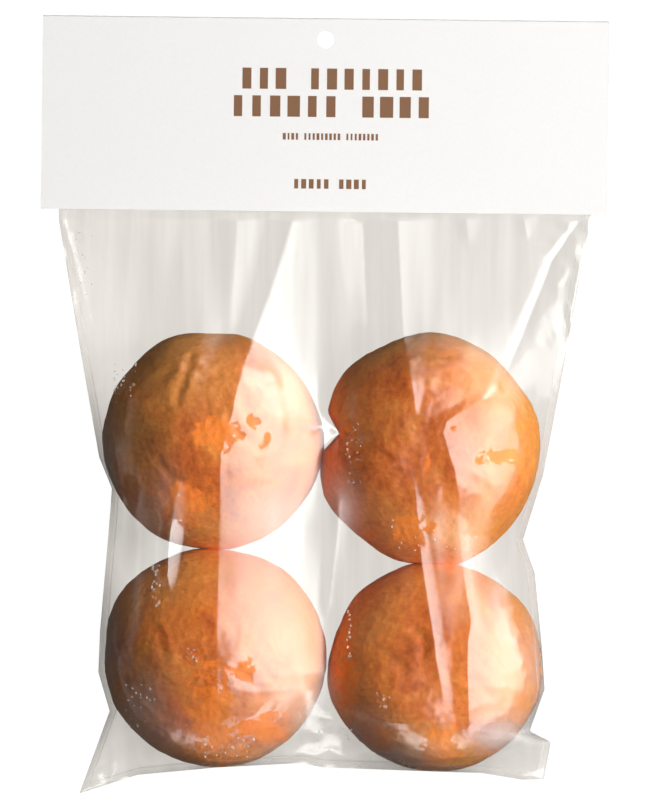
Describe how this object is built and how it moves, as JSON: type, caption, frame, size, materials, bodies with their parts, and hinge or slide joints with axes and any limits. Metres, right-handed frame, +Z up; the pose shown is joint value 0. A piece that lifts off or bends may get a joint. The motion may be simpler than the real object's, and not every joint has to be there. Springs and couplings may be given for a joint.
{
  "type": "bag of brioche burger buns",
  "caption": "Clear sealed bag of round, domed brioche burger buns, flat-welded at the foot and closed by a folded white card header with a hang hole.",
  "frame": {"origin": "under the middle of the whole, on the surface that the bag lies on", "axes": "+Z up, out of the shown side; +Y along the bag towards the card header; +X to the right of the shown side"},
  "size_m": [0.257, 0.3518, 0.0622],
  "materials": {
    "clear_film": "clear gloss film over brown crust",
    "white_board": "smooth matt coated board",
    "bun_crust": "egg-washed baked crust, satin",
    "brown_ink": "flat printed ink"
  },
  "bodies": {
    "root": {"bag": "clear_film", "header_card": "white_board"}
  },
  "joints": []
}
